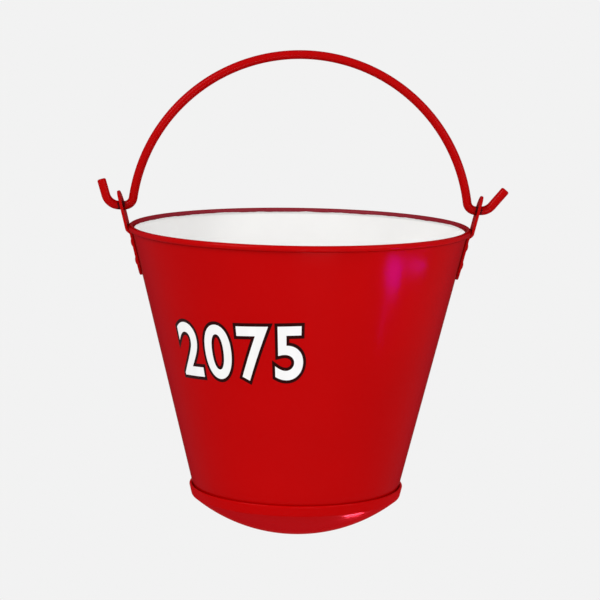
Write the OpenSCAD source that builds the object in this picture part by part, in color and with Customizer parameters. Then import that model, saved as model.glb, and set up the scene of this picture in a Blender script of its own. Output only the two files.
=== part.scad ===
// Round-bottomed fire bucket of folded sheet steel, hung from its bail.
// Lengths are in millimetres. The origin lies under the crown of the bail, where a hook holds it,
// with X through the two ears, Y from the front to the back and Z up.

/* [Bucket] */
// Diameter over the wired rim
rim_d = 292; // [250:1:340]
// Outside diameter of the wall at its foot
base_d = 175; // [150:0.5:200]
// Height from the foot of the wall to the top of the rim
wall_h = 231; // [190:1:270]
// Depth of the domed bottom below the foot of the wall
dome_depth = 34.5; // [26:0.5:42]
// Thickness of the sheet
sheet_t = 0.8; // [0.6:0.05:1.2]

/* [Rim] */
// Diameter of the wire inside the rim
wire_d = 3.2; // [2.5:0.1:5]
// Angle through which the sheet is curled round the wire
curl_turn = 265; // [240:5:265]
// Distance of the wire's centre outside the middle of the wall's sheet
wire_out = 0.5; // [0.3:0.1:1]
// Middle radius of the neck that sets the wire over the wall
neck_r = 2; // [1.5:0.1:4]
// Straight length between the neck and the curl
neck_flat = 0.4; // [0.3:0.1:1]

/* [Folded seams] */
// Height of the hem that joins the bottom to the wall
hem_h = 7; // [6:0.5:14]
// Width of the lock seam up the back of the wall
lock_w = 6.5; // [5:0.5:10]
// Width of the shoulder where the sheet runs into the lock seam
shoulder_w = 1.6; // [1:0.1:3]

/* [Ears] */
// Width of the ear strap
strap_w = 25; // [20:0.5:32]
// Thickness of the ear strap
strap_t = 2.5; // [2:0.25:4]
// Length of the strap below the wire
strap_leg = 43; // [40:0.5:55]
// Straight length in the middle of the strap's double bend
joggle_flat = 1; // [0.5:0.1:2]
// Height of the pivot above the top of the rim
pivot_h = 15; // [14:0.5:24]

/* [Rivets] */
// Diameter of the rivet shank
rivet_d = 5; // [4:0.25:6]
// Diameter of the low round head outside
head_d = 9; // [8:0.25:11]
// Height of the low round head outside
head_h = 1.4; // [1:0.1:3]
// Diameter of the hammered tail inside
tail_d = 8; // [7:0.25:10]
// Height of the hammered tail inside
tail_h = 1.4; // [1:0.1:2]
// Distance along the wall from the wire to the upper rivet
rivet_drop = 14; // [13:0.5:17]
// Distance from the upper rivet to the lower rivet
rivet_pitch = 16; // [12:0.5:18]

/* [Bail] */
// Diameter of the bail rod
rod_d = 7.5; // [6:0.5:10]
// Middle radius of the bend that turns the rod out through the ear
crank_r = 7.5; // [7:0.25:12]
// Distance of the middle of the loop below the pivots
loop_drop = 13.5; // [0:0.5:24]
// Middle radius of the hook at each end of the rod
hook_r = 12; // [9:0.5:16]
// Angle through which the left hook turns up
hook_turn_left = 74; // [40:1:90]
// Angle through which the right hook turns up
hook_turn_right = 50; // [40:1:90]
// Length of the left hook along the rod
hook_len_left = 29.5; // [26:0.5:40]
// Length of the right hook along the rod
hook_len_right = 28.5; // [26:0.5:40]
// Straight length of the rod between the loop and the bend at each ear
straight_len = 2; // [1:0.5:6]
// Rounding of the rod's ends
tip_round = 1.5; // [0.5:0.1:2.5]

/* [Fits] */
// Gap between the wire and the curled sheet
wire_fit = 0.2; // [0.1:0.01:0.3]
// Gap between the layers of a folded seam
seam_fit = 0.15; // [0.08:0.01:0.3]
// Gap between the strap and the sheet that it lies on
strap_fit = 0.05; // [0.03:0.01:0.2]
// Gap round a rivet's shank
rivet_fit = 0.08; // [0.05:0.01:0.2]
// Gap under a rivet's head and tail
head_fit = 0.04; // [0.02:0.01:0.1]
// Gap all round the rod in the ear's hole
pivot_fit = 0.75; // [0.4:0.05:1]
// Play of the ear between the bends of the rod, at each side
ear_play = 0.9; // [0.6:0.1:2]

/* [Hidden] */
$fn = 96;
red = [0.72, 0.02, 0.02];
iron = [0.45, 0.44, 0.43];
// Sheet, strap and rod are a hair thinner where they are bent, and each straight laps into its bends
thinning = 0.02;
lap = 0.05;
rod_lap = 0.2;

// Rim: the sheet is curled round the wire, whose centre is the origin of every section of the wall
bead_r = wire_d / 2 + wire_fit + sheet_t;
curl_r = bead_r - sheet_t / 2;
wire_x = rim_d / 2 - bead_r;

// Neck: a short bend the other way carries the sheet from the wall to the inner side of the wire
neck_turn = acos((wire_out + neck_r) / norm([curl_r + neck_r, neck_flat])) - atan2(neck_flat, curl_r + neck_r);
neck_len = (curl_r + neck_r) * sin(neck_turn) + neck_flat * cos(neck_turn);

// Wall: its middle line passes just inside the wire's centre and ends at the foot
foot_x = base_d / 2 - sheet_t / 2;
wire_up = wall_h - bead_r;
foot_to_wire = norm([wire_x - foot_x, wire_up]);
lean = atan2(wire_x - foot_x, wire_up) - asin(wire_out / foot_to_wire);
wall_len = sqrt(pow(foot_to_wire, 2) - pow(wire_out, 2));

// Hem: the layers of the seam at the foot lie one pitch apart
layer = sheet_t + seam_fit;
hem_top = hem_h - wall_len + layer + sheet_t / 2;

// Strap: its leg lies on the wall and its ear stands outside the rim
leg_x = strap_fit + (strap_t + sheet_t) / 2 - wire_out;
ear_x = bead_r + strap_fit + strap_t / 2;
joggle_turn = acos((leg_x + ear_x) / norm([2 * ear_x, joggle_flat])) - atan2(joggle_flat, 2 * ear_x);
joggle_len = 2 * ear_x * sin(joggle_turn) + joggle_flat * cos(joggle_turn);

// Pivot: the ear's hole, on the middle line of the ear
pivot_up = (bead_r + pivot_h + ear_x * sin(lean)) / cos(lean);
pivot_x = wire_x + ear_x * cos(lean) + pivot_up * sin(lean);
hole_r = rod_d / 2 + pivot_fit;

// Bail: short straights join the loop to the bends that turn its ends out through the ears
pin_in = pivot_x - strap_t / 2 / cos(lean) - ear_play;
pin_out = pivot_x + strap_t / 2 / cos(lean) + ear_play;
loop_up = crank_r + loop_drop;
loop_r = sqrt(pow(pin_in, 2) + pow(loop_up, 2) - pow(straight_len, 2)) - crank_r;
loop_end = atan2(loop_up, pin_in) + atan2(straight_len, loop_r + crank_r);

// Heights, measured from the underside of the crown of the bail
loop_z = rod_d / 2 - loop_r;
pivot_z = loop_z + loop_drop;
rim_z = pivot_z - pivot_h;
wire_z = rim_z - bead_r;
foot_z = rim_z - wall_h;

// Dome: its middle line is a circle centred on the axis, tangent to the bend under the hem
hem_bend_r = 2 * layer;
hem_bend_x = foot_x + layer * cos(lean);
hem_bend_up = dome_depth - layer * sin(lean) - sheet_t / 2;
dome_r = (pow(hem_bend_x, 2) + pow(hem_bend_up, 2) - pow(hem_bend_r, 2))
    / (2 * (hem_bend_up - hem_bend_r));
dome_z = foot_z - dome_depth + sheet_t / 2 + dome_r;
dome_angle = atan2(hem_bend_up - dome_r, hem_bend_x);

// A straight run of a section, from one point to another
module run(from, to, t) {
    along = (to - from) / norm(to - from);
    side = t / 2 * [-along[1], along[0]];
    start = from - lap * along;
    end = to + lap * along;
    polygon([start + side, start - side, end - side, end + side]);
}

// An arc of a section about a centre, between two angles, with r at its middle
module arc(centre, r, t, start, end) {
    fan = [for (i = [0:6]) 3 * r * [cos(start + (end - start) * i / 6), sin(start + (end - start) * i / 6)]];
    translate(centre) intersection() {
        difference() {
            circle(r + t / 2);
            circle(r - t / 2);
        }
        polygon(concat([[0, 0]], fan));
    }
}

// A bend of a section, thinner than the runs beside it
module bend(centre, r, t, start, end) arc(centre, r, t - thinning, start, end);

// Turns a section drawn along the wall to its place beside the axis
module wall_section() translate([wire_x, wire_z]) rotate(-lean) children();

// Puts a solid on the wall at the right ear: X points out of the wall and Z up along it
module on_wall() translate([wire_x, 0, wire_z]) rotate([0, lean, 0]) children();

// Repeats the right side on the left
module left_side() mirror([1, 0, 0]) children();

// The sheet of the wall, from the curl round the wire to the hook at the foot
module wall_profile() {
    neck = [-wire_out - neck_r, -neck_len];
    out = [cos(neck_turn), sin(neck_turn)];
    bend([0, 0], curl_r, sheet_t, 180 - curl_turn, 180 + neck_turn);
    run(-curl_r * out, neck + neck_r * out, sheet_t);
    bend(neck, neck_r, sheet_t, 0, neck_turn);
    run([-wire_out, -neck_len], [-wire_out, -wall_len], sheet_t);
    bend([layer - wire_out, -wall_len], layer, sheet_t, 180, 360);
    run([2 * layer - wire_out, -wall_len], [2 * layer - wire_out, hem_h - wall_len - seam_fit], sheet_t);
}

// The hem of the bottom, folded down between the wall and its hook
module hem_profile() {
    run([layer - wire_out, seam_fit - wall_len], [layer - wire_out, hem_h - wall_len], sheet_t);
    bend([2 * layer - wire_out, hem_h - wall_len], layer, sheet_t, 0, 180);
    run([3 * layer - wire_out, hem_h - wall_len], [3 * layer - wire_out, -wall_len], sheet_t);
    bend([layer - wire_out, -wall_len], hem_bend_r, sheet_t, dome_angle + lean, 0);
}

// The strap: a leg on the wall, a double bend round the rim and the ear above it
module strap_profile() {
    run([leg_x, -strap_leg], [leg_x, -joggle_len], strap_t);
    joggle = [leg_x + ear_x, -joggle_len];
    out = ear_x * [cos(joggle_turn), -sin(joggle_turn)];
    bend(joggle, ear_x, strap_t, 180 - joggle_turn, 180);
    run(joggle - out, out, strap_t);
    bend([0, 0], ear_x, strap_t, -joggle_turn, 0);
    run([ear_x, 0], [ear_x, pivot_up + strap_w], strap_t);
}

// The front of the strap: round at the top about the pivot, and round at the foot
module strap_outline() {
    foot = wire_z - strap_leg * cos(lean) + strap_w / 2;
    translate([pivot_z, 0]) circle(strap_w / 2);
    translate([foot, 0]) circle(strap_w / 2);
    translate([foot, -strap_w / 2]) square([pivot_z - foot, strap_w]);
}

// The section of the lock seam: the folded edge, with a shoulder on one side of it
module lock_section() {
    proud = 2.5 * sheet_t;
    translate([0, -lock_w / 2]) square([proud - sheet_t, lock_w]);
    translate([proud - sheet_t, sheet_t - lock_w / 2]) square([sheet_t, lock_w - 2 * sheet_t]);
    for (side = [-1, 1])
        translate([proud - sheet_t, side * (lock_w / 2 - sheet_t)]) circle(sheet_t);
    translate([0, lock_w / 2]) square([sheet_t, shoulder_w]);
}

// The lock seam up the back, from the hem to the neck of the rim
module lock_seam() {
    low = hem_top + seam_fit;
    rotate([0, 0, 90]) on_wall() translate([-wire_out, 0, low])
        linear_extrude(-neck_len - low) lock_section();
}

// The holes through the wall or the strap for one ear's two rivets
module rivet_holes() {
    for (down = [rivet_drop, rivet_drop + rivet_pitch])
        on_wall() translate([-strap_w, 0, -down]) rotate([0, 90, 0])
            cylinder(r = rivet_d / 2 + rivet_fit, h = 2 * strap_w);
}

// A low round head on its flat underside, its radius taken from its width and height
module head_profile(d, h) {
    ball = (pow(d / 2, 2) + pow(h, 2)) / (2 * h);
    intersection() {
        translate([0, h - ball]) circle(ball);
        square([d / 2, h]);
    }
}

// One rivet of the right ear, at a distance down the wall
module rivet(down) {
    wall_r = wire_x - down * sin(lean);
    outside = strap_fit + strap_t + sheet_t / 2 + head_fit;
    inside = sheet_t / 2 + head_fit + pow(tail_d, 2) / (8 * (wall_r - tail_d));
    color(red) on_wall() translate([-wire_out, 0, -down]) rotate([0, 90, 0]) rotate_extrude() {
        translate([0, -inside - tail_h / 2])
            square([rivet_d / 2, inside + outside + (tail_h + head_h) / 2]);
        translate([0, outside]) head_profile(head_d, head_h);
        translate([0, -inside]) mirror([0, 1]) head_profile(tail_d, tail_h);
    }
}

// The ear on the right, cut from a strap that follows the round of the wall
module ear() {
    spread = 2 * asin(strap_w / 2 / (base_d / 2));
    color(red) difference() {
        intersection() {
            rotate([0, 0, -spread / 2]) rotate_extrude(angle = spread) wall_section() strap_profile();
            translate([base_d / 2, 0, 0]) rotate([0, 90, 0]) mirror([1, 0, 0])
                linear_extrude(rim_d) strap_outline();
        }
        translate([base_d / 2, 0, pivot_z]) rotate([0, 90, 0]) cylinder(r = hole_r, h = rim_d);
        rivet_holes();
    }
}

// A bend of the rod in the plane of the bail, about a centre
module rod_bend(centre, r, start, turn) {
    translate(centre) rotate([0, 0, start]) rotate_extrude(angle = turn)
        translate([r, 0]) circle(rod_d / 2 - thinning);
}

// A straight of the rod in the plane of the bail, from a point and in a direction
module rod_straight(from, direction, len) {
    translate(from) rotate([0, 90, direction]) translate([0, 0, -rod_lap])
        cylinder(d = rod_d, h = len + 2 * rod_lap);
}

// The rod's end in the plane of the bail: a straight with a rounded edge
module rod_end(from, direction, len) {
    translate(from) rotate([0, 90, direction]) rotate_extrude() {
        translate([0, -rod_lap]) square([rod_d / 2, len + rod_lap - tip_round]);
        square([rod_d / 2 - tip_round, len]);
        translate([rod_d / 2 - tip_round, len - tip_round]) circle(tip_round);
    }
}

// One end of the bail: the bend down to the ear, the pin through it and the hook outside
module bail_side(turn, len) {
    rod_straight([loop_r * cos(loop_end), loop_z + loop_r * sin(loop_end), 0], loop_end - 90, straight_len);
    rod_bend([pin_in, pivot_z + crank_r, 0], crank_r, 180 + loop_end, 90 - loop_end);
    rod_straight([pin_in, pivot_z, 0], 0, pin_out - pin_in);
    rod_bend([pin_out, pivot_z + hook_r, 0], hook_r, -90, turn);
    rod_end([pin_out + hook_r * sin(turn), pivot_z + hook_r * (1 - cos(turn)), 0], turn,
        len - hook_r * turn * PI / 180);
}

// Tapered wall of one sheet, curled over at the rim, locked up the back and hooked at the foot
module body_shell() {
    color(red) difference() {
        union() {
            rotate_extrude() wall_section() wall_profile();
            lock_seam();
        }
        rivet_holes();
        left_side() rivet_holes();
    }
}

// Ring of wire that stiffens the rim
module rim_wire() {
    color(iron) translate([0, 0, wire_z]) rotate_extrude() translate([wire_x, 0]) circle(wire_d / 2);
}

// Dished bottom with its hem folded round the foot of the wall
module bottom_dome() {
    color(red) rotate_extrude() {
        wall_section() hem_profile();
        arc([0, dome_z], dome_r, sheet_t, -90, dome_angle + lap / dome_r * 180 / PI);
    }
}

// Swinging handle of round rod, hooked out through the two ears
module bail_handle() {
    color(red) rotate([90, 0, 0]) {
        rod_bend([0, loop_z, 0], loop_r, loop_end, 180 - 2 * loop_end);
        bail_side(hook_turn_right, hook_len_right);
        left_side() bail_side(hook_turn_left, hook_len_left);
    }
}

body_shell();
rim_wire();
bottom_dome();
left_side() ear();  // ear_left
ear();  // ear_right
left_side() rivet(rivet_drop);  // rivet_left_upper
left_side() rivet(rivet_drop + rivet_pitch);  // rivet_left_lower
rivet(rivet_drop);  // rivet_right_upper
rivet(rivet_drop + rivet_pitch);  // rivet_right_lower
bail_handle();
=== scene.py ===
"""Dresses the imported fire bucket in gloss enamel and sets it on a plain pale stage."""

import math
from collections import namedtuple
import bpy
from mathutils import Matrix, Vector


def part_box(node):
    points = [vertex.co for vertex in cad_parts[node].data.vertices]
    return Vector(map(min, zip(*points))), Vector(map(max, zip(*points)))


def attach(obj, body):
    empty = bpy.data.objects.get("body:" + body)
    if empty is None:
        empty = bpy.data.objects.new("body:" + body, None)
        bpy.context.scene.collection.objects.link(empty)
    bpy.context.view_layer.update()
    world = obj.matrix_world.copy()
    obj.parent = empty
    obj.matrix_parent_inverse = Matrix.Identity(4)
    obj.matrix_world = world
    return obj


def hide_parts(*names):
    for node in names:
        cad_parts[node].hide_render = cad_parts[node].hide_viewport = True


bl_info = {
    "name": "Fire Bucket",
    "version": (1, 0, 0),
    "blender": (4, 5, 0),
    "location": "View3D > Sidebar > Bucket",
    "description": "Models the enamelled pieces of a round-bottomed fire bucket and its stage",
    "category": "Object",
}

from types import SimpleNamespace

import bpy
from mathutils import Matrix, Vector

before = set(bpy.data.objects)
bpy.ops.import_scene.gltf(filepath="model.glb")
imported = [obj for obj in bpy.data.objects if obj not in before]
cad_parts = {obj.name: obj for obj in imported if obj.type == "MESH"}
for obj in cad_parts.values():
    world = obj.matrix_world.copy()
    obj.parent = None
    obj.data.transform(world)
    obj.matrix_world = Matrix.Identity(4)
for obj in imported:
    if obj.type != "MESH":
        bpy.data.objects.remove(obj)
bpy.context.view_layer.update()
shell_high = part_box("body_shell")[1]

# Steps of a mesh once round the bucket
ROUND_STEPS = 256
# Distance in metres under which two points count as one, and the same in a turned section
NEAR = 0.00001
NEAR_TURNED = 0.000002


# Sizes and colours

def place(name, description, default, **limits):
    return bpy.props.FloatProperty(
        name=name, description=description, default=default, unit="LENGTH", precision=5, **limits)


def length(name, description, default):
    return place(name, description, default, min=0.0)


def turn(name, description, degrees):
    return bpy.props.FloatProperty(
        name=name, description=description, default=math.radians(degrees), unit="ROTATION")


def paint(name, description, default):
    return bpy.props.FloatVectorProperty(
        name=name, description=description, default=default, size=3, min=0.0, max=1.0,
        subtype="COLOR")


class BucketSizes(bpy.types.PropertyGroup):
    """Sizes of the sheet, its rim and its seams."""
    rim_diameter: length("Rim diameter", "Diameter over the wired rim", 2 * shell_high.x)
    rim_height: place("Rim height", "Height of the top of the rim over the origin", shell_high.z)
    foot_diameter: length("Foot diameter", "Outside diameter of the wall at its foot", 0.175)
    wall_height: length("Wall height", "Height of the top of the rim over the foot", 0.231)
    dome_depth: length("Dome depth", "Depth of the domed bottom below the foot of the wall", 0.0345)
    sheet: length("Sheet", "Thickness of the sheet", 0.0008)
    wire: length("Wire", "Diameter of the wire inside the rim", 0.0032)
    wire_fit: length("Wire fit", "Gap between the wire and the curled sheet", 0.0002)
    wire_out: length(
        "Wire out", "Distance of the wire's centre outside the middle of the wall's sheet", 0.0005)
    curl_turn: turn("Curl", "Angle through which the sheet is curled round the wire", 265)
    neck: length("Neck", "Middle radius of the neck that sets the wire over the wall", 0.002)
    neck_flat: length("Neck flat", "Straight length between the neck and the curl", 0.0004)
    hem_height: length("Hem height", "Height of the hem that joins the bottom to the wall", 0.007)
    seam_fit: length("Seam fit", "Gap between the layers of a folded seam", 0.00015)
    lock_width: length("Lock seam", "Width of the lock seam up the back of the wall", 0.0065)
    shoulder: length("Shoulder", "Width of the shoulder beside the lock seam", 0.0016)


class EarSizes(bpy.types.PropertyGroup):
    """Sizes of the ear straps and their rivets."""
    width: length("Strap width", "Width of the ear strap", 0.025)
    thickness: length("Strap thickness", "Thickness of the ear strap", 0.0025)
    leg: length("Strap leg", "Length of the strap below the wire", 0.043)
    flat: length("Joggle flat", "Straight length in the middle of the strap's double bend", 0.001)
    fit: length("Strap fit", "Gap between the strap and the sheet", 0.00005)
    pivot_height: length("Pivot height", "Height of the pivot above the top of the rim", 0.015)
    pivot_fit: length("Pivot fit", "Gap all round the rod in the ear's hole", 0.00075)
    rounding: length("Edge rounding", "Rounding of the strap's painted edges", 0.0007)
    head_diameter: length("Head diameter", "Diameter of a rivet's low round head", 0.009)
    head_height: length("Head height", "Height of a rivet's low round head", 0.0014)
    tail_diameter: length("Tail diameter", "Diameter of a rivet's hammered tail inside", 0.008)
    tail_height: length("Tail height", "Height of a rivet's hammered tail inside", 0.0014)
    rivet_drop: length("Rivet drop", "Distance from the wire down to the upper rivet", 0.014)
    rivet_pitch: length("Rivet pitch", "Distance from the upper rivet to the lower rivet", 0.016)


class BailSizes(bpy.types.PropertyGroup):
    """Sizes of the swinging handle."""
    rod: length("Rod", "Diameter of the rod", 0.0075)
    crank: length("Crank", "Middle radius of the bend that turns the rod into the ear", 0.0075)
    drop: length("Drop", "Distance of the middle of the loop below the pivots", 0.0135)
    hook: length("Hook", "Middle radius of the hook at each end of the rod", 0.012)
    turn_left: turn("Left hook", "Angle through which the left hook turns up", 74)
    turn_right: turn("Right hook", "Angle through which the right hook turns up", 50)
    length_left: length("Left length", "Length of the left hook along the rod", 0.0295)
    length_right: length("Right length", "Length of the right hook along the rod", 0.0285)
    straight: length("Straight", "Straight length between the loop and the bend at each ear", 0.002)
    tip: length("Tip", "Rounding of the rod's ends", 0.0015)
    play: length("Play", "Play of the ear between the bends of the rod", 0.0009)


class NumberSizes(bpy.types.PropertyGroup):
    """Sizes and place of the number painted on the front."""
    digits: bpy.props.StringProperty(
        name="Digits", description="Plain number painted on the front", default="2075")
    height: length("Height", "Height of the digits", 0.0490)
    span: length("Span", "Width of the number along the wall", 0.117)
    edge: length("Edge", "Width of the dark edge round the digits", 0.0030)
    middle: length("Middle", "Distance from the wire down to the middle of the number", 0.093)
    side: turn("Side", "Angle of the number from the front, to the left", 25.5)
    climb: turn("Climb", "Angle at which the line of digits climbs to the right", 3)


class BucketColours(bpy.types.PropertyGroup):
    """Colours of the finishes."""
    red: paint("Red enamel", "Gloss enamel outside", (0.455, 0.0015, 0.0015))
    # Painted shade: this crimson is darker than the red enamel and stands in for the shade on the
    # bead's inner side
    painted_shade_crimson: paint("Crimson", "Red brushed over white on the inner half of the bead",
                   (0.27, 0.050, 0.068))
    white: paint("White enamel", "Gloss enamel inside", (0.90, 0.90, 0.89))
    primer: paint("Primer", "Primer where the rod rubs the enamel off", (0.060, 0.006, 0.006))
    steel: paint("Steel", "Bare wire inside the rim", (0.45, 0.44, 0.43))
    digit: paint("Digits", "White of the painted number", (0.86, 0.86, 0.85))
    digit_edge: paint("Digit edge", "Dark edge of the painted number", (0.022, 0.001, 0.001))
    stage: paint("Stage", "Pale floor and background", (0.888, 0.888, 0.888))


class StageSizes(bpy.types.PropertyGroup):
    """Place of the floor and the camera."""
    floor: length("Floor", "Distance of the floor below the origin", 0.80)
    distance: length("Distance", "Distance of the camera from the bucket's axis", 2.00)
    height: length("Height", "Height of the camera above the rim", 0.2264)
    aim: length("Aim", "Depth below the origin that the camera looks at", 0.2054)
    sideways: place("Sideways", "Place along X that the camera looks at", 0.0012)
    view: length("View", "Height of the picture at the bucket's axis", 0.5136)
    roll: turn("Roll", "Lean of the camera", 0.9)


def bucket_lines():
    """The lines that several pieces share, worked out from the sizes."""
    scene = bpy.context.scene
    sheet, ear, bail = scene.bucket_sizes, scene.ear_sizes, scene.bail_sizes
    n = SimpleNamespace()

    # The bead round the wire, the neck below it and the leaning wall
    bead = sheet.wire / 2 + sheet.wire_fit + sheet.sheet
    n.curl = bead - sheet.sheet / 2
    n.wire_x = sheet.rim_diameter / 2 - bead
    n.wire_z = sheet.rim_height - bead
    foot_in = n.wire_x - (sheet.foot_diameter - sheet.sheet) / 2
    wire_up = sheet.wall_height - bead
    reach = math.hypot(foot_in, wire_up)
    n.lean = math.atan2(foot_in, wire_up) - math.asin(sheet.wire_out / reach)
    n.wall = math.sqrt(reach ** 2 - sheet.wire_out ** 2)
    turned = n.curl + sheet.neck
    n.neck_turn = (math.acos((sheet.wire_out + sheet.neck) / math.hypot(turned, sheet.neck_flat))
                   - math.atan2(sheet.neck_flat, turned))
    n.neck = turned * math.sin(n.neck_turn) + sheet.neck_flat * math.cos(n.neck_turn)
    n.layer = sheet.sheet + sheet.seam_fit
    n.hem_top = sheet.hem_height - n.wall + n.layer + sheet.sheet / 2

    # The strap of an ear with its double bend past the bead, and the pivot
    n.leg_x = ear.fit + (ear.thickness + sheet.sheet) / 2 - sheet.wire_out
    n.ear_x = bead + ear.fit + ear.thickness / 2
    n.joggle_turn = (math.acos((n.leg_x + n.ear_x) / math.hypot(2 * n.ear_x, ear.flat))
                     - math.atan2(ear.flat, 2 * n.ear_x))
    n.joggle = 2 * n.ear_x * math.sin(n.joggle_turn) + ear.flat * math.cos(n.joggle_turn)
    n.pivot_up = (bead + ear.pivot_height + n.ear_x * math.sin(n.lean)) / math.cos(n.lean)
    n.pivot_x = n.wire_x + n.ear_x * math.cos(n.lean) + n.pivot_up * math.sin(n.lean)
    n.pivot_z = sheet.rim_height + ear.pivot_height

    # The pins of the bail, and its loop between them
    half_ear = ear.thickness / 2 / math.cos(n.lean) + bail.play
    n.pin_in = n.pivot_x - half_ear
    n.pin_out = n.pivot_x + half_ear
    loop_up = bail.crank + bail.drop
    loop = math.sqrt(n.pin_in ** 2 + loop_up ** 2 - bail.straight ** 2) - bail.crank
    n.loop_end = math.atan2(loop_up, n.pin_in) + math.atan2(bail.straight, loop + bail.crank)
    n.loop_z = n.pivot_z - bail.drop

    # The dish, which meets the bend into the hem
    bend_x = (sheet.foot_diameter - sheet.sheet) / 2 + n.layer * math.cos(n.lean)
    bend_up = sheet.dome_depth - n.layer * math.sin(n.lean) - sheet.sheet / 2
    bend = 2 * n.layer
    n.dome = (bend_x ** 2 + bend_up ** 2 - bend ** 2) / (2 * (bend_up - bend))
    foot_z = sheet.rim_height - sheet.wall_height
    n.dome_z = foot_z - sheet.dome_depth + sheet.sheet / 2 + n.dome
    n.dome_angle = math.atan2(bend_up - n.dome, bend_x)
    return n


def on_wall(n, out, up):
    """A point beside the wall, out of it and up along it from the wire, as x and z."""
    return (n.wire_x + out * math.cos(n.lean) + up * math.sin(n.lean),
            n.wire_z - out * math.sin(n.lean) + up * math.cos(n.lean))


# Modelling

def pick(piece):
    """Selects one piece alone and makes it the active one."""
    bpy.ops.object.select_all(action="DESELECT")
    piece.select_set(True)
    bpy.context.view_layer.objects.active = piece


def edit(piece):
    """Opens one piece for editing, with nothing else selected."""
    pick(piece)
    bpy.ops.object.mode_set(mode="EDIT")


def leave():
    bpy.ops.object.mode_set(mode="OBJECT")


def select_all():
    """Selects all of the open piece."""
    bpy.ops.mesh.select_all(action="SELECT")


def select_points(piece, wanted):
    """Selects the points of the open piece for which wanted(x, y, z) is true."""
    bpy.ops.mesh.select_mode(type="VERT")
    bpy.ops.mesh.select_all(action="DESELECT")
    leave()
    for point in piece.data.vertices:
        point.select = wanted(*point.co)
    bpy.ops.object.mode_set(mode="EDIT")


def extrude(step=(0, 0, 0)):
    bpy.ops.mesh.extrude_region_move(TRANSFORM_OT_translate={"value": step})


def resize(shares, centre):
    """Stretches what is selected along each axis, about a centre."""
    bpy.ops.transform.resize(value=shares, center_override=centre)


def turn_faces_out():
    """Turns all faces of the open piece outwards and leaves it."""
    select_all()
    bpy.ops.mesh.normals_make_consistent(inside=False)
    leave()


def name_piece(name):
    piece = bpy.context.object
    piece.name = name
    piece.data.name = name
    return piece


def apply_place():
    bpy.ops.object.transform_apply(location=True, rotation=True, scale=True)


def ring(name, steps, radius, centre, rotation=(0, 0, 0), fill="NOTHING"):
    """A circle of points, open for editing, with its place in its mesh."""
    bpy.ops.mesh.primitive_circle_add(
        vertices=steps, radius=radius, fill_type=fill, location=centre, rotation=rotation)
    piece = name_piece(name)
    apply_place()
    edit(piece)
    select_all()
    return piece


def spin(end, centre, angle, steps):
    """Sweeps what is selected round a centre, and gives the x and z where it ends."""
    bpy.ops.mesh.spin(steps=steps, angle=angle, center=(centre[0], 0, centre[1]), axis=(0, 1, 0))
    x, z = end[0] - centre[0], end[1] - centre[1]
    return (centre[0] + x * math.cos(angle) - z * math.sin(angle),
            centre[1] + x * math.sin(angle) + z * math.cos(angle))


class Section:
    """A chain of points in the plane of X and Z, drawn in edit mode. Angles grow from X to Z."""

    def __init__(self, name, start):
        bpy.ops.mesh.primitive_plane_add(size=0.002)
        self.piece = name_piece(name)
        bpy.ops.object.mode_set(mode="EDIT")
        bpy.ops.mesh.merge(type="CENTER")
        bpy.ops.transform.translate(value=(start[0], 0, start[1]))
        self.end = start

    def line(self, end, steps=1):
        step = ((end[0] - self.end[0]) / steps, 0, (end[1] - self.end[1]) / steps)
        for _ in range(steps):
            extrude(step)
        self.end = end

    def bend(self, centre, angle, steps):
        self.end = spin(self.end, centre, angle, steps)

    def revolve(self, steps=ROUND_STEPS):
        """Turns the section once round Z and closes it."""
        select_all()
        bpy.ops.mesh.spin(steps=steps, angle=2 * math.pi, axis=(0, 0, 1), use_auto_merge=True)
        select_all()
        bpy.ops.mesh.remove_doubles(threshold=NEAR_TURNED)
        turn_faces_out()
        return self.piece


def modify(piece, kind, **settings):
    """Adds a modifier, sets it and applies it."""
    pick(piece)
    modifier = piece.modifiers.new(kind.title(), kind)
    for name, value in settings.items():
        setattr(modifier, name, value)
    bpy.ops.object.modifier_apply(modifier=modifier.name)


def smooth(piece, angle=35):
    pick(piece)
    bpy.ops.object.shade_smooth_by_angle(angle=math.radians(angle))


def set_in_place(piece, centre, rotation=(0, 0, 0)):
    """Turns a piece modelled round the origin, puts it in place and keeps that in its mesh."""
    pick(piece)
    piece.rotation_euler = rotation
    piece.location = centre
    apply_place()


def copy_piece(piece, name):
    """A copy with its own mesh."""
    pick(piece)
    bpy.ops.object.duplicate(linked=False)
    return name_piece(name)


def delete_piece(piece):
    pick(piece)
    bpy.ops.object.delete()


def mirror_piece(piece, name):
    """A copy on the other side of the bucket, facing outwards."""
    other = copy_piece(piece, name)
    edit(other)
    select_all()
    resize((-1, 1, 1), (0, 0, 0))
    bpy.ops.mesh.flip_normals()
    leave()
    return other


def face_out(piece, point, outwards):
    """Turns an open shell round unless its face nearest to a point looks the given way."""
    near = min(piece.data.polygons, key=lambda face: (face.center - Vector(point)).length)
    if near.normal.dot(Vector(outwards)) < 0:
        edit(piece)
        select_all()
        bpy.ops.mesh.flip_normals()
        leave()


# Finishes

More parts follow.
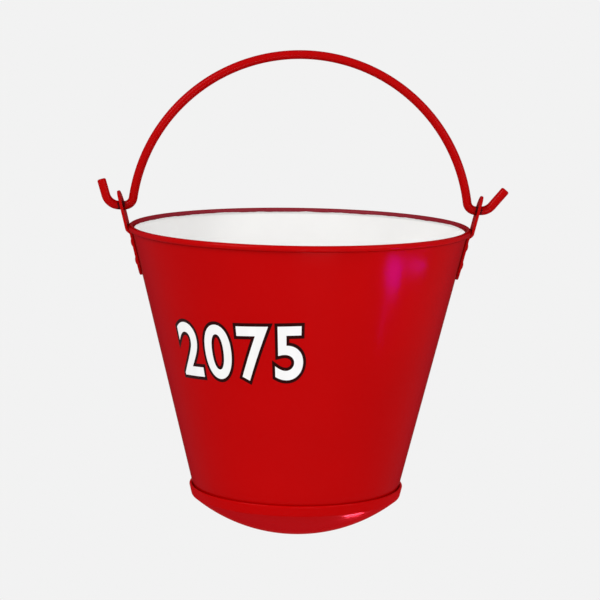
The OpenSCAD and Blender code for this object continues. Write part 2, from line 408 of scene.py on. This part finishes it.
class Finish:
    """A material under construction, with short calls for its nodes."""

    def __init__(self, name):
        self.material = bpy.data.materials.new(name)
        self.material.use_nodes = True
        self.nodes = self.material.node_tree.nodes
        self.links = self.material.node_tree.links
        self.shader = self.nodes["Principled BSDF"]
        self.place = self.add("ShaderNodeTexCoord").outputs["Object"]

    def add(self, kind, **settings):
        node = self.nodes.new(kind)
        for name, value in settings.items():
            setattr(node, name, value)
        return node

    def noise(self, scale, detail=2.0, roughness=0.5, stretch=(1, 1, 1)):
        """Noise on the object's own coordinates, from 0 to 1."""
        mapping = self.add("ShaderNodeMapping")
        mapping.inputs["Scale"].default_value = stretch
        self.links.new(self.place, mapping.inputs["Vector"])
        node = self.add("ShaderNodeTexNoise")
        node.inputs["Scale"].default_value = scale
        node.inputs["Detail"].default_value = detail
        node.inputs["Roughness"].default_value = roughness
        self.links.new(mapping.outputs["Vector"], node.inputs["Vector"])
        return node.outputs["Fac"]

    def math(self, operation, first, second=0.0):
        node = self.add("ShaderNodeMath", operation=operation)
        for socket, value in zip(node.inputs, (first, second)):
            if isinstance(value, (int, float)):
                socket.default_value = value
            else:
                self.links.new(value, socket)
        return node.outputs[0]

    def spread(self, value, low, high, to_low=0.0, to_high=1.0):
        """Stretches a value from one range to another, held at its ends."""
        node = self.add("ShaderNodeMapRange", clamp=True)
        ends = {"From Min": low, "From Max": high, "To Min": to_low, "To Max": to_high}
        for name, end in ends.items():
            node.inputs[name].default_value = end
        self.links.new(value, node.inputs["Value"])
        return node.outputs["Result"]

    def mix(self, amount, first, second):
        """Mixes two colours, each given as three numbers or as a socket."""
        node = self.add("ShaderNodeMix", data_type="RGBA", clamp_factor=True)
        self.links.new(amount, node.inputs["Factor"])
        for name, value in (("A", first), ("B", second)):
            socket = [s for s in node.inputs if s.name == name and s.type == "RGBA"][0]
            if hasattr(value, "is_linked"):
                self.links.new(value, socket)
            else:
                socket.default_value = (*value, 1)
        return [s for s in node.outputs if s.type == "RGBA"][0]

    def axes(self):
        """The place on the object along each of its axes."""
        node = self.add("ShaderNodeSeparateXYZ")
        self.links.new(self.place, node.inputs["Vector"])
        return node.outputs

    def distance(self, *sides):
        """The length of a line with the given sides."""
        squares = [self.math("MULTIPLY", side, side) for side in sides]
        total = squares[0]
        for square in squares[1:]:
            total = self.math("ADD", total, square)
        return self.math("SQRT", total)

    def bump(self, height, distance, before=None):
        node = self.add("ShaderNodeBump")
        node.inputs["Distance"].default_value = distance
        self.links.new(height, node.inputs["Height"])
        if before is not None:
            self.links.new(before, node.inputs["Normal"])
        return node.outputs["Normal"]

    def drive(self, name, value):
        """Links a value to one of the shader's sockets."""
        self.links.new(value, self.shader.inputs[name])

    def set(self, name, value):
        """Sets one of the shader's sockets to a value that is the same all over."""
        self.shader.inputs[name].default_value = value


def tone(colour, share):
    """A colour with its brightness changed."""
    return tuple(channel * share for channel in colour)


def mix_shaders(tree, amount, first, second, out):
    """Sends a mix of the shaders of two nodes to the output node."""
    mixed = tree.nodes.new("ShaderNodeMixShader")
    for source, socket in zip((amount, first.outputs[0], second.outputs[0]), mixed.inputs):
        tree.links.new(source, socket)
    tree.links.new(mixed.outputs[0], out.inputs["Surface"])


def brushed_enamel(finish, ripple):
    """The relief and gloss of brushed gloss enamel: slow waves, brush drag and orange peel."""
    waves = finish.bump(finish.noise(scale=9, roughness=0.4), distance=ripple)
    strokes = finish.noise(scale=60, detail=3.0, stretch=(1, 1, 0.12))
    drag = finish.bump(strokes, distance=0.00010, before=waves)
    peel = finish.bump(finish.noise(scale=480), distance=0.000022, before=drag)
    finish.drive("Normal", peel)
    patches = finish.noise(scale=35, detail=4.0, roughness=0.6)
    finish.drive("Roughness", finish.spread(patches, 0.3, 0.7, to_low=0.14, to_high=0.20))
    finish.set("Specular IOR Level", 0.08)


COAT_TINT = (0.88, 0.45, 0.50)


def varnish(finish, tint=COAT_TINT):
    """A clear red coat with no shine of its own, which deepens the colour seen at a slant."""
    finish.set("Coat Weight", 1.0)
    finish.set("Coat Roughness", 0.25)
    finish.set("Coat IOR", 1.005)
    finish.set("Coat Tint", (*tint, 1))


def red_enamel(name, ripple=0.0006, tint=COAT_TINT, share=1.0):
    """Gloss red enamel, a little deeper where it pooled."""
    finish = Finish(name)
    red = tone(bpy.context.scene.bucket_colours.red, share / tint[0])
    pooled = finish.spread(finish.noise(scale=14, detail=3.0, roughness=0.55), 0.35, 0.70)
    finish.drive("Base Color", finish.mix(pooled, red, tone(red, 0.95)))
    brushed_enamel(finish, ripple)
    varnish(finish, tint)
    return finish


def inside_enamel(name, line_z=0.0, bead_x=1.0):
    """White enamel inside, brushed up to an uneven line on the bead, with red past it.

    The red is above the height line_z or outside the radius bead_x. On the inner half of the bead
    that red is a darker crimson, which is painted shade.
    """
    finish = Finish(name)
    colours = bpy.context.scene.bucket_colours
    wander = finish.spread(finish.noise(scale=40, detail=3.0, roughness=0.6), 0.25, 0.75,
                           to_low=-0.0006, to_high=0.0006)
    axes = finish.axes()
    above = finish.math("SUBTRACT", finish.math("ADD", axes["Z"], wander), line_z)
    outside = finish.math("SUBTRACT", finish.distance(axes["X"], axes["Y"]), bead_x)
    red_share = finish.spread(finish.math("MAXIMUM", above, outside), -0.0001, 0.0001)
    # Painted shade: the inner half of the bead is the darker crimson, blending out to the full red
    # on its outer half
    bead = finish.mix(finish.spread(outside, 0.0004, 0.0014),
                      colours.painted_shade_crimson, tone(colours.red, 1.1))
    shade = finish.spread(finish.noise(scale=16, detail=3.0), 0.35, 0.7)
    white = finish.mix(shade, colours.white, tone(colours.white, 0.96))
    finish.drive("Base Color", finish.mix(red_share, white, bead))
    brushed_enamel(finish, 0.0005)
    varnish(finish)
    finish.drive("Coat Weight", red_share)
    return finish.material


def bare_steel(name):
    """Drawn steel wire."""
    finish = Finish(name)
    steel = bpy.context.scene.bucket_colours.steel
    grain = finish.noise(scale=220, detail=4.0)
    finish.drive("Base Color", finish.mix(grain, tone(steel, 0.75), tone(steel, 1.1)))
    patches = finish.noise(scale=900)
    finish.drive("Roughness", finish.spread(patches, 0.3, 0.7, to_low=0.30, to_high=0.45))
    finish.set("Metallic", 1.0)
    finish.drive("Normal", finish.bump(finish.noise(scale=1500), distance=0.00001))
    return finish.material


def rubbed_enamel(name, n, reach):
    """Red enamel that the swinging rod has rubbed down to dark primer round the pivots."""
    finish = red_enamel(name, 0.0003, share=0.88)
    axes = finish.axes()
    along = finish.math("SUBTRACT", finish.math("ABSOLUTE", axes["X"]), n.pivot_x)
    away = finish.distance(along, axes["Y"], finish.math("SUBTRACT", axes["Z"], n.pivot_z))
    wander = finish.spread(finish.noise(scale=260, detail=4.0, roughness=0.65), 0.2, 0.8,
                           to_low=-0.0016, to_high=0.0016)
    ragged = finish.math("ADD", away, wander)
    rubbed = finish.spread(ragged, reach, reach + 0.0006, to_low=1.0, to_high=0.0)
    enamel = finish.shader.inputs["Base Color"].links[0].from_socket
    primer = bpy.context.scene.bucket_colours.primer
    finish.drive("Base Color", finish.mix(rubbed, enamel, primer))
    return finish.material


def plain_paint(name, colour):
    """Signwriter's paint with a faint brush grain."""
    finish = Finish(name)
    along_brush = (1, 1, 0.3)
    grain = finish.noise(scale=120, detail=3.0, stretch=along_brush)
    finish.drive("Base Color", finish.mix(finish.spread(grain, 0.3, 0.7),
                                          colour, tone(colour, 0.95)))
    patches = finish.noise(scale=300, detail=3.0)
    finish.drive("Roughness", finish.spread(patches, 0.3, 0.7, to_low=0.28, to_high=0.38))
    strokes = finish.noise(scale=260, detail=3.0, stretch=along_brush)
    finish.drive("Normal", finish.bump(strokes, distance=0.00004))
    finish.set("Specular IOR Level", 0.04)
    return finish.material


def give(piece, *materials):
    piece.data.materials.clear()
    for material in materials:
        piece.data.materials.append(material)


# Pieces

class BUCKET_OT_wall(bpy.types.Operator):
    """Models the tapered wall, curled at the rim, hooked at the foot and locked up the back"""
    bl_idname = "bucket.wall"
    bl_label = "Wall"

    def model_sheet(self, sizes, n):
        """The wall's one sheet, turned round the axis."""
        middle_x = -sizes.wire_out
        neck = on_wall(n, middle_x - sizes.neck, -n.neck)
        neck_side = math.cos(n.neck_turn - n.lean), math.sin(n.neck_turn - n.lean)
        neck_top = (neck[0] + sizes.neck * neck_side[0], neck[1] + sizes.neck * neck_side[1])
        start = math.pi - sizes.curl_turn
        hook_end = sizes.hem_height - n.wall - sizes.seam_fit
        section = Section("wall", on_wall(n, n.curl * math.cos(start), n.curl * math.sin(start)))
        section.bend(on_wall(n, 0, 0), sizes.curl_turn + n.neck_turn, steps=44)
        section.line(neck_top)
        section.bend(neck, -n.neck_turn, steps=8)
        section.line(on_wall(n, middle_x, -n.wall), steps=16)
        section.bend(on_wall(n, n.layer + middle_x, -n.wall), math.pi, steps=8)
        section.line(on_wall(n, 2 * n.layer + middle_x, hook_end), steps=2)
        wall = section.revolve()
        middle = on_wall(n, middle_x, -n.wall / 2)
        face_out(wall, (middle[0], 0, middle[1]), (1, 0, 0))
        # The white ends this far below and inside the middle of the wire
        short = 0.0008
        give(wall, red_enamel("red enamel on the wall").material,
             inside_enamel("white enamel inside the wall", n.wire_z - short, n.wire_x - short))
        modify(wall, "SOLIDIFY", thickness=sizes.sheet, offset=0.0, material_offset=1)
        smooth(wall)
        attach(wall, "bucket")
        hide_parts("body_shell")

    def model_lock_seam(self, sizes, n):
        """The locked layers up the back: a raised strip with a shoulder that slopes down."""
        sheet, across = sizes.sheet, sizes.lock_width / 2
        top, fillet, fillet_z = 2.5 * sheet, 0.3 * sheet, 1.3 * sheet
        slope_x, side_x = across + sizes.shoulder * 0.8, across + sizes.shoulder * 1.3
        section = Section("lock_seam", (-across, 0.0))
        section.line((-across, top - sheet))
        section.bend((sheet - across, top - sheet), -math.pi / 2, steps=6)
        section.line((across - sheet, top), steps=6)
        section.bend((across - sheet, top - sheet), -math.pi / 2, steps=6)
        section.line((across, fillet_z))
        section.bend((across + fillet, fillet_z), math.pi / 2, steps=3)
        section.line((slope_x, sheet))
        section.line((side_x, 0.35 * sheet))
        section.line((side_x, 0.0))
        select_all()
        bpy.ops.mesh.edge_face_add()
        low, high, steps = n.hem_top + sizes.seam_fit, -n.neck, 24
        for _ in range(steps):
            extrude((0, (high - low) / steps, 0))
        turn_faces_out()
        strip = section.piece
        foot = on_wall(n, -sizes.wire_out, low)
        set_in_place(strip, (0, foot[0], foot[1]), (math.pi / 2 + n.lean, 0, math.pi))
        give(strip, red_enamel("red enamel on the lock seam").material)
        smooth(strip, 40)
        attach(strip, "bucket")
        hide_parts("body_shell")

    def execute(self, context):
        sizes, n = context.scene.bucket_sizes, bucket_lines()
        self.model_sheet(sizes, n)
        self.model_lock_seam(sizes, n)
        return {"FINISHED"}


class BUCKET_OT_bottom(bpy.types.Operator):
    """Models the dished bottom with its hem folded round the foot of the wall"""
    bl_idname = "bucket.bottom"
    bl_label = "Bottom"

    def execute(self, context):
        sizes, n = context.scene.bucket_sizes, bucket_lines()
        inner = n.layer - sizes.wire_out
        fold = sizes.hem_height - n.wall
        section = Section("bottom", on_wall(n, inner, sizes.seam_fit - n.wall))
        section.line(on_wall(n, inner, fold), steps=2)
        section.bend(on_wall(n, inner + n.layer, fold), -math.pi, steps=12)
        section.line(on_wall(n, inner + 2 * n.layer, -n.wall), steps=4)
        section.bend(on_wall(n, inner, -n.wall), n.dome_angle + n.lean, steps=8)
        section.bend((0, n.dome_z), -math.pi / 2 - n.dome_angle, steps=40)
        bottom = section.revolve()
        on_dish = (n.dome * 0.3, 0, n.dome_z - n.dome * 0.95)
        face_out(bottom, on_dish, (0, 0, -1))
        give(bottom, red_enamel("red enamel on the bottom", 0.0005, (0.94, 0.40, 0.45)).material,
             inside_enamel("white enamel inside the bottom"))
        modify(bottom, "SOLIDIFY", thickness=sizes.sheet, offset=0.0, material_offset=1)
        smooth(bottom)
        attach(bottom, "bucket")
        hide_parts("bottom_dome")
        return {"FINISHED"}


class BUCKET_OT_wire(bpy.types.Operator):
    """Finishes the steel wire inside the rim"""
    bl_idname = "bucket.wire"
    bl_label = "Rim wire"

    def execute(self, context):
        give(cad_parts["rim_wire"], bare_steel("drawn steel wire"))
        return {"FINISHED"}


class BUCKET_OT_ears(bpy.types.Operator):
    """Models the two ear straps, joggled over the bead and round at both ends"""
    bl_idname = "bucket.ears"
    bl_label = "Ears"

    def bent_surface(self, sizes, n):
        """The middle surface of the strap, round the bucket, and the heights of its rows."""
        section = Section("strap_form", on_wall(n, n.leg_x, -sizes.leg - 0.004))
        section.line(on_wall(n, n.leg_x, -n.joggle), steps=2)
        section.bend(on_wall(n, n.leg_x + n.ear_x, -n.joggle), -n.joggle_turn, steps=10)
        section.line(on_wall(n, n.ear_x * math.cos(n.joggle_turn),
                             -n.ear_x * math.sin(n.joggle_turn)))
        section.bend(on_wall(n, 0, 0), n.joggle_turn, steps=10)
        section.line(on_wall(n, n.ear_x, n.pivot_up + sizes.width))
        form = section.piece
        leave()
        rows = sorted({round(point.co.z, 6) for point in form.data.vertices}, reverse=True)
        edit(form)
        for side in (-1, 1):
            select_points(form, lambda x, y, z: abs(y) < NEAR)
            bpy.ops.mesh.spin(steps=24, angle=side * math.radians(12), axis=(0, 0, 1))
        leave()
        return form, rows

    def flat_strap(self, sizes, n, hole, rows):
        """The strap's outline in the plane through Y and Z: a hole, rings round it and a leg."""
        half = sizes.width / 2
        pivot = (0, 0, n.pivot_z)
        ear = ring("ear_right_piece", 48, hole, pivot, (0, math.pi / 2, 0))
        radii = (hole, 0.0062, 0.0088, half)
        for before, after in zip(radii, radii[1:]):
            extrude()
            resize((1, after / before, after / before), pivot)

        # The lower quarter of the outer ring becomes a straight row, and the sides upright
        leg_z = n.pivot_z - half - 0.002
        corner = half * math.sqrt(0.5)

        def outer(y, z):
            return abs(math.hypot(y, z - n.pivot_z) - half) < NEAR

        select_points(ear, lambda x, y, z: outer(y, z) and z < n.pivot_z - corner + NEAR)
        resize((1, half / corner, 0), (0, 0, leg_z))
        for side in (-1, 1):
            select_points(
                ear, lambda x, y, z: outer(y, z) and z < n.pivot_z - NEAR and y * side > 0)
            resize((1, 0, (n.pivot_z - leg_z) / corner), (0, side * half, n.pivot_z))

        # The leg has a row of points at each row of the bent surface, and a round foot
        foot_z = n.wire_z - sizes.leg * math.cos(n.lean) + half
        select_points(ear, lambda x, y, z: z < leg_z + NEAR)
        last = leg_z
        for row in [z for z in rows if foot_z < z < leg_z - 0.0004] + [foot_z]:
            extrude((0, 0, row - last))
            last = row
        select_points(ear, lambda x, y, z: z < foot_z + NEAR and y > -NEAR)
        bpy.ops.mesh.spin(steps=24, angle=math.pi, center=(0, 0, foot_z), axis=(1, 0, 0))
        select_all()
        bpy.ops.mesh.remove_doubles(threshold=NEAR)
        turn_faces_out()
        return ear

    def execute(self, context):
        sizes, n = context.scene.ear_sizes, bucket_lines()
        form, rows = self.bent_surface(sizes, n)
        hole = context.scene.bail_sizes.rod / 2 + sizes.pivot_fit
        ear = self.flat_strap(sizes, n, hole, rows)
        modify(ear, "SHRINKWRAP", target=form, wrap_method="PROJECT", use_project_x=True,
               use_positive_direction=True, use_negative_direction=False)
        delete_piece(form)
        face_out(ear, (n.pivot_x, 0.01, n.pivot_z), (1, 0, 0))
        modify(ear, "SOLIDIFY", thickness=sizes.thickness, offset=0.0)
        modify(ear, "BEVEL", width=sizes.rounding, segments=3, limit_method="ANGLE",
               angle_limit=math.radians(50), use_clamp_overlap=True)
        smooth(ear, 40)
        left = mirror_piece(ear, "ear_left_piece")
        finish = rubbed_enamel("red enamel on the ears", n, 0.0052)
        for piece, node in ((ear, "ear_right"), (left, "ear_left")):
            give(piece, finish)
            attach(piece, "bucket")
            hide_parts(node)
        return {"FINISHED"}


class BUCKET_OT_rivets(bpy.types.Operator):
    """Models one round-head rivet and sets its copies through the ears and the wall"""
    bl_idname = "bucket.rivets"
    bl_label = "Rivets"

    def cap(self, name, wide, high, flare):
        """A round head on a flat, pole upwards, with the paint run out round its edge."""
        ball = ((wide / 2) ** 2 + high ** 2) / (2 * high)
        paint_z, seat_z = 0.0003, -0.0001
        sweep = math.acos((ball - high + paint_z) / ball)
        head = Section(name, (0, high))
        head.bend((0, high - ball), -sweep, steps=16)
        head.line((wide / 2 + flare * 0.35, paint_z * 0.45))
        head.line((wide / 2 + flare, 0.0))
        head.line((0, seat_z))
        return head.revolve(steps=48)

    def execute(self, context):
        sizes, sheet, n = context.scene.ear_sizes, context.scene.bucket_sizes, bucket_lines()
        tail = self.cap("rivet_tail", sizes.tail_diameter, sizes.tail_height, flare=0.0002)
        set_in_place(tail, (0, 0, -sheet.sheet / 2), (math.pi, 0, 0))
        rivet = self.cap("rivet", sizes.head_diameter, sizes.head_height, flare=0.0003)
        set_in_place(rivet, (0, 0, sizes.fit + sizes.thickness + sheet.sheet / 2))
        give(rivet, red_enamel("red enamel on the rivets", 0.0001).material)
        give(tail, inside_enamel("white enamel on the rivet tails"))
        pick(rivet)
        tail.select_set(True)
        bpy.ops.object.join()
        smooth(rivet, 40)
        drops = (("upper", sizes.rivet_drop), ("lower", sizes.rivet_drop + sizes.rivet_pitch))
        for side, side_name in ((1, "right"), (-1, "left")):
            for level, drop in drops:
                name = f"rivet_{side_name}_{level}"
                piece = copy_piece(rivet, name + "_piece")
                x, z = on_wall(n, -sheet.wire_out, -drop)
                set_in_place(piece, (side * x, 0, z), (0, side * (math.pi / 2 + n.lean), 0))
                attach(piece, "bucket")
                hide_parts(name)
        delete_piece(rivet)
        return {"FINISHED"}


class BUCKET_OT_bail(bpy.types.Operator):
    """Bends the bail from one rod: hook, pin, crank, loop and back again"""
    bl_idname = "bucket.bail"
    bl_label = "Bail"

    def execute(self, context):
        sizes, n = context.scene.bail_sizes, bucket_lines()
        radius = sizes.rod / 2
        straight_left = sizes.length_left - sizes.hook * sizes.turn_left
        straight_right = sizes.length_right - sizes.hook * sizes.turn_right
        turned = sizes.turn_left
        x = n.pin_out + sizes.hook * math.sin(turned) + straight_left * math.cos(turned)
        z = n.pivot_z + sizes.hook * (1 - math.cos(turned)) + straight_left * math.sin(turned)
        end, heading = (-x, z), -turned
        bail = ring("bail", 32, radius - sizes.tip, (-x, 0, z), (0, math.pi / 2 - heading, 0))

        def forward(distance, scale=1.0):
            nonlocal end
            step = (distance * math.cos(heading), 0, distance * math.sin(heading))
            extrude(step)
            end = (end[0] + step[0], end[1] + step[2])
            if scale != 1.0:
                resize((scale, scale, scale), (end[0], 0, end[1]))

        def around(centre, angle, steps):
            nonlocal end, heading
            end = spin(end, centre, angle, steps)
            heading += angle

        def tip(outwards):
            """Rounds the rod's edge, ring by ring."""
            rings = [(sizes.tip * (1 - math.cos(a)), radius - sizes.tip + sizes.tip * math.sin(a))
                     for a in (i * math.pi / 12 for i in range(7))]
            if outwards:
                rings = [(sizes.tip - along, wide) for along, wide in reversed(rings)]
            for (a, wide_a), (b, wide_b) in zip(rings, rings[1:]):
                forward(b - a, wide_b / wide_a)

        pin = n.pin_out - n.pin_in
        hook_z, crank_z = n.pivot_z + sizes.hook, n.pivot_z + sizes.crank
        crank_turn = math.pi / 2 - n.loop_end
        tip(outwards=False)
        forward(straight_left - sizes.tip)
        around((-n.pin_out, hook_z), sizes.turn_left, steps=20)
        forward(pin)
        around((-n.pin_in, crank_z), crank_turn, steps=16)
        forward(sizes.straight)
        around((0, n.loop_z), 2 * n.loop_end - math.pi, steps=160)
        forward(sizes.straight)
        around((n.pin_in, crank_z), crank_turn, steps=16)
        forward(pin)
        around((n.pin_out, hook_z), sizes.turn_right, steps=20)
        forward(straight_right - sizes.tip)
        tip(outwards=True)
        select_all()
        bpy.ops.mesh.fill_holes(sides=0)
        turn_faces_out()
        smooth(bail, 40)
        give(bail, rubbed_enamel("red enamel on the bail", n, 0.0045))
        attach(bail, "bail")
        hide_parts("bail_handle")
        return {"FINISHED"}


class BUCKET_OT_number(bpy.types.Operator):
    """Paints a plain number on the front, white with a dark edge"""
    bl_idname = "bucket.number"
    bl_label = "Number"

    # Share of the type size that is a digit's height, extra width of its strokes, and spacing
    capital, weight, spacing = 0.72, 0.0012, 1.14
    # Thickness of the paint, and how far each layer stands out of the enamel
    coat, edge_proud, white_proud = 0.00012, 0.00008, 0.00016
    # Upright cuts that let the flat digits follow the round wall
    slices = 44

    def draw_digits(self, sizes, name, edge):
        """A flat drawing of the digits, each stroke wider by an edge on either side."""
        bpy.ops.object.text_add()
        words = bpy.context.object
        words.data.body = sizes.digits
        words.data.align_x, words.data.align_y = "CENTER", "CENTER"
        words.data.size = sizes.height / self.capital
        words.data.resolution_u = 16
        words.data.offset = self.weight + edge
        words.data.space_character = self.spacing
        bpy.ops.object.convert(target="MESH")
        return name_piece(name)

    def fit_to(self, sizes, piece, edge):
        """The middle of a drawing, and the stretch that gives the digits in it their size."""
        points = [point.co for point in piece.data.vertices]
        low = [min(point[axis] for point in points) + edge for axis in (0, 1)]
        high = [max(point[axis] for point in points) - edge for axis in (0, 1)]
        stretch = (sizes.span / (high[0] - low[0]), sizes.height / (high[1] - low[1]))
        return ((low[0] + high[0]) / 2, (low[1] + high[1]) / 2), stretch

    def lay_on_wall(self, context, piece, proud):
        """Wraps a flat drawing round the wall, upright and a hair over the enamel."""
        sizes, sheet, n = context.scene.number_sizes, context.scene.bucket_sizes, bucket_lines()
        surface = sheet.sheet / 2 - sheet.wire_out
        climb = math.tan(sizes.climb)
        radius = on_wall(n, surface, -sizes.middle)[0]
        for point in piece.data.vertices:
            around = point.co.x / radius - sizes.side
            x, z = on_wall(n, surface + proud, point.co.y + point.co.x * climb - sizes.middle)
            point.co = (x * math.sin(around), -x * math.cos(around), z)

    def execute(self, context):
        sizes, colours = context.scene.number_sizes, context.scene.bucket_colours
        outwards = (-math.sin(sizes.side), -math.cos(sizes.side), -0.2)
        fit = None
        for name, edge, proud, colour, finish_name in (
                ("number_edge", sizes.edge, self.edge_proud, colours.digit_edge,
                 "dark edge of the number"),
                ("number", 0.0, self.white_proud, colours.digit, "white of the number")):
            piece = self.draw_digits(sizes, name, edge)
            fit = fit or self.fit_to(sizes, piece, edge)
            centre, stretch = fit
            edit(piece)
            select_all()
            bpy.ops.mesh.remove_doubles(threshold=NEAR)
            bpy.ops.transform.translate(value=(-centre[0], -centre[1], 0))
            resize((*stretch, 1), (0, 0, 0))
            for i in range(1, self.slices):
                cut_x = (i / self.slices - 0.5) * (sizes.span + 0.01)
                select_all()
                bpy.ops.mesh.bisect(plane_co=(cut_x, 0, 0), plane_no=(1, 0, 0))
            select_all()
            bpy.ops.mesh.quads_convert_to_tris()
            leave()
            self.lay_on_wall(context, piece, proud)
            face_out(piece, piece.data.polygons[0].center, outwards)
            modify(piece, "SOLIDIFY", thickness=self.coat, offset=-1.0)
            give(piece, plain_paint(finish_name, colour))
            smooth(piece, 30)
            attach(piece, "bucket")
        return {"FINISHED"}


# Stage

WHITE, VIOLET, PINK = (1, 1, 1), (0.25, 0.0, 1.0), (1.0, 0.75, 1.0)
MIDDLE = (0, 0, -0.22)
# Lengths are in metres, power in watts, roll and spread in degrees
Lamp = namedtuple("Lamp", "name place aim width height power colour roll spread",
                  defaults=(WHITE, 0, 180))
LAMPS = (
    Lamp("key", (-1.5, -1.3, 1.25), MIDDLE, width=1.2, height=1.2, power=26),
    Lamp("fill", (1.6, -1.15, 0.7), MIDDLE, width=1.2, height=1.4, power=12),
    Lamp("low", (0.3, -1.3, -0.70), (0, 0, -0.38), width=0.6, height=0.2, power=2.8),
    Lamp("side glow", (0.324, -0.183, -0.306), (0.082, -0.114, -0.167),
         width=0.07, height=0.030, power=0.022, colour=VIOLET, spread=44),
    Lamp("side glow top", (0.348, -0.092, -0.283), (0.094, -0.103, -0.156),
         width=0.13, height=0.008, power=0.009, colour=VIOLET, roll=10, spread=44),
    Lamp("side glow tail", (0.300, -0.181, -0.342), (0.074, -0.109, -0.205),
         width=0.02, height=0.05, power=0.0012, colour=VIOLET, spread=44),
    Lamp("low glint", (0.137, 0.146, -0.632), (0.050, -0.0735, -0.3744),
         width=0.006, height=0.064, power=0.0125, colour=PINK, roll=9, spread=44),
)


class BUCKET_OT_stage(bpy.types.Operator):
    """Sets the floor, the light and the camera"""
    bl_idname = "bucket.stage"
    bl_label = "Stage"

    def set_floor(self, context):
        """A round floor that fades out, and that can't be seen from below."""
        sizes, colour = context.scene.stage_sizes, context.scene.bucket_colours.stage
        centre, radius = (0, 0, -sizes.floor), 0.5
        floor = ring("floor", 96, radius, centre, fill="TRIFAN")
        select_points(floor, lambda x, y, z: math.hypot(x, y) > 0.98 * radius)
        for _ in range(3):
            extrude()
            resize((2, 2, 1), centre)
        leave()
        finish = Finish("pale floor")
        finish.set("Roughness", 0.9)
        finish.set("Specular IOR Level", 0.0)
        grain = finish.noise(scale=30, detail=3.0)
        finish.drive("Base Color", finish.mix(grain, colour, tone(colour, 0.99)))
        axes = finish.axes()
        faded = finish.spread(finish.distance(axes["X"], axes["Y"]), 0.35, 0.80)
        below = finish.add("ShaderNodeNewGeometry").outputs["Backfacing"]
        clear = finish.add("ShaderNodeBsdfTransparent")
        mix_shaders(finish.material.node_tree, finish.math("MAXIMUM", faded, below),
                    finish.shader, clear, finish.nodes["Material Output"])
        give(floor, finish.material)

    def set_world(self, context):
        """Soft white light all round, seen as the pale background."""
        world = bpy.data.worlds.new("pale room")
        context.scene.world = world
        world.use_nodes = True
        nodes, links = world.node_tree.nodes, world.node_tree.links
        nodes.clear()
        seen, light = nodes.new("ShaderNodeBackground"), nodes.new("ShaderNodeBackground")
        seen.inputs["Color"].default_value = (*context.scene.bucket_colours.stage, 1)
        light.inputs["Color"].default_value = (*WHITE, 1)
        light.inputs["Strength"].default_value = 0.72
        path = nodes.new("ShaderNodeLightPath")
        shown = path.outputs["Is Camera Ray"]
        for other in ("Is Glossy Ray", "Is Transmission Ray"):
            either = nodes.new("ShaderNodeMath")
            either.operation = "MAXIMUM"
            links.new(shown, either.inputs[0])
            links.new(path.outputs[other], either.inputs[1])
            shown = either.outputs[0]
        mix_shaders(world.node_tree, shown, light, seen, nodes.new("ShaderNodeOutputWorld"))

    def add_lamp(self, lamp):
        """An area lamp turned to what it lights."""
        bpy.ops.object.light_add(type="AREA", location=lamp.place)
        added = bpy.context.object
        added.name = lamp.name
        added.data.shape = "RECTANGLE"
        added.data.size, added.data.size_y = lamp.width, lamp.height
        added.data.energy = lamp.power
        added.data.color = lamp.colour
        added.data.spread = math.radians(lamp.spread)
        look = (Vector(lamp.aim) - Vector(lamp.place)).to_track_quat("-Z", "Y").to_matrix()
        added.rotation_euler = (
            look @ Matrix.Rotation(math.radians(lamp.roll), 3, "Z")).to_euler()

    def set_camera(self, context):
        sizes = context.scene.stage_sizes
        height = context.scene.bucket_sizes.rim_height + sizes.height
        start = Vector((sizes.sideways, -sizes.distance, height))
        aim = Vector((sizes.sideways, 0, -sizes.aim))
        bpy.ops.object.camera_add(location=start)
        camera = bpy.context.object
        camera.name = "camera"
        look = (aim - start).to_track_quat("-Z", "Y").to_matrix().to_4x4()
        camera.matrix_world = Matrix.Translation(start) @ look @ Matrix.Rotation(sizes.roll, 4, "Z")
        sensor = 36
        camera.data.sensor_width = sensor
        camera.data.lens = sensor * (aim - start).length / sizes.view
        context.scene.camera = camera

    def execute(self, context):
        self.set_floor(context)
        self.set_world(context)
        for lamp in LAMPS:
            self.add_lamp(lamp)
        self.set_camera(context)
        context.scene.view_settings.view_transform = "Standard"
        return {"FINISHED"}


class BUCKET_PT_panel(bpy.types.Panel):
    """Lists the pieces, the sizes and the colours"""
    bl_idname = "BUCKET_PT_panel"
    bl_label = "Fire Bucket"
    bl_space_type = "VIEW_3D"
    bl_region_type = "UI"
    bl_category = "Bucket"

    def draw(self, context):
        layout = self.layout
        for operator in OPERATORS:
            layout.operator(operator.bl_idname)
        for group, _ in GROUPS:
            box = layout.box()
            settings = getattr(context.scene, group)
            for name in settings.bl_rna.properties.keys():
                if name not in ("rna_type", "name"):
                    box.prop(settings, name)


GROUPS = (
    ("bucket_sizes", BucketSizes),
    ("ear_sizes", EarSizes),
    ("bail_sizes", BailSizes),
    ("number_sizes", NumberSizes),
    ("bucket_colours", BucketColours),
    ("stage_sizes", StageSizes),
)
OPERATORS = (
    BUCKET_OT_wall,
    BUCKET_OT_bottom,
    BUCKET_OT_wire,
    BUCKET_OT_ears,
    BUCKET_OT_rivets,
    BUCKET_OT_bail,
    BUCKET_OT_number,
    BUCKET_OT_stage,
)


def register():
    for name, group in GROUPS:
        bpy.utils.register_class(group)
        setattr(bpy.types.Scene, name, bpy.props.PointerProperty(type=group))
    for cls in OPERATORS + (BUCKET_PT_panel,):
        bpy.utils.register_class(cls)


def unregister():
    for cls in (BUCKET_PT_panel,) + OPERATORS[::-1]:
        bpy.utils.unregister_class(cls)
    for name, group in GROUPS[::-1]:
        delattr(bpy.types.Scene, name)
        bpy.utils.unregister_class(group)


def main():
    register()
    bpy.ops.bucket.wall()
    bpy.ops.bucket.bottom()
    bpy.ops.bucket.wire()
    bpy.ops.bucket.ears()
    bpy.ops.bucket.rivets()
    bpy.ops.bucket.bail()
    bpy.ops.bucket.number()
    bpy.ops.bucket.stage()


if __name__ == "__main__":
    main()
